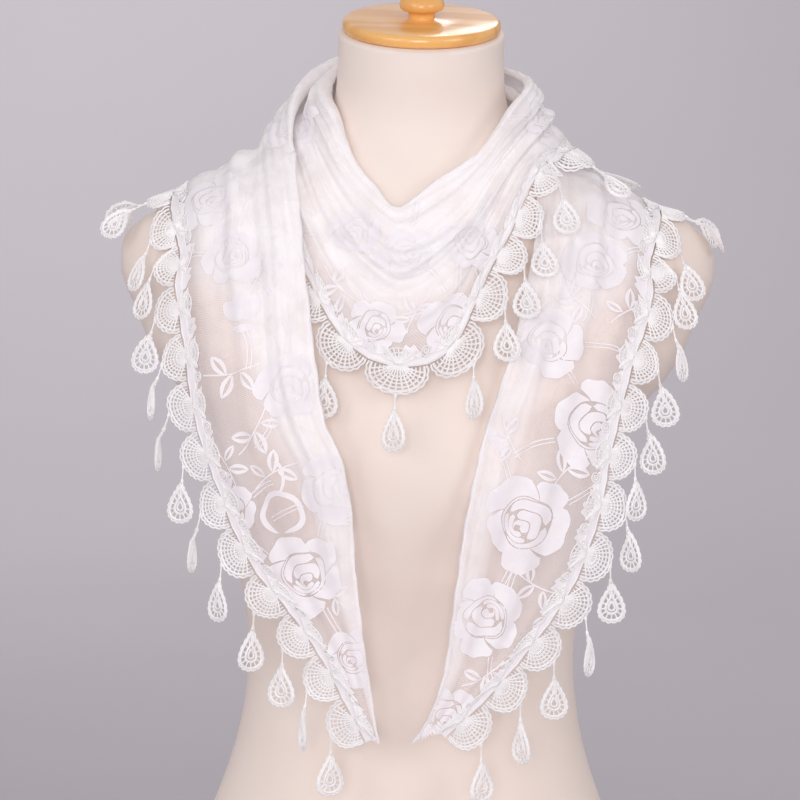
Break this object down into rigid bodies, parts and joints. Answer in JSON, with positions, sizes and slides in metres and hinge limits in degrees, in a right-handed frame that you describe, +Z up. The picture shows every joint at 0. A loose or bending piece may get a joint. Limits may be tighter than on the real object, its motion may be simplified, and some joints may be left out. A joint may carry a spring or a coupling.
{
  "type": "sheer lace shawl on a dress form with a wooden neck cap",
  "caption": "Sheer triangular lace shawl with a scalloped trim and hanging drops, wrapped once round the neck of a limbless dress form with a wooden neck cap.",
  "frame": {"origin": "middle of the flat cut under the dress form's hips", "axes": "+Z up along the form, the form's front faces -Y, +X is the viewer's right"},
  "size_m": [0.4331, 0.2861, 0.6951],
  "materials": {
    "form_cream": "smooth matte skin",
    "cap_wood": "varnished",
    "shawl_lace": "soft sheer lace net"
  },
  "bodies": {
    "root": {"form_torso": "form_cream", "neck_cap": "cap_wood", "front_bib": "shawl_lace", "front_bib_trim": "shawl_lace", "right_neck_wrap": "shawl_lace", "right_neck_trim": "shawl_lace", "back_outer_wrap": "shawl_lace", "back_outer_trim": "shawl_lace", "left_shoulder_drape": "shawl_lace", "left_shoulder_trim": "shawl_lace", "left_end": "shawl_lace", "left_end_trim": "shawl_lace", "left_neck_wrap": "shawl_lace", "left_neck_trim": "shawl_lace", "back_inner_wrap": "shawl_lace", "back_inner_trim": "shawl_lace", "right_shoulder_drape": "shawl_lace", "right_shoulder_trim": "shawl_lace", "right_end": "shawl_lace", "right_end_trim": "shawl_lace"}
  },
  "joints": []
}
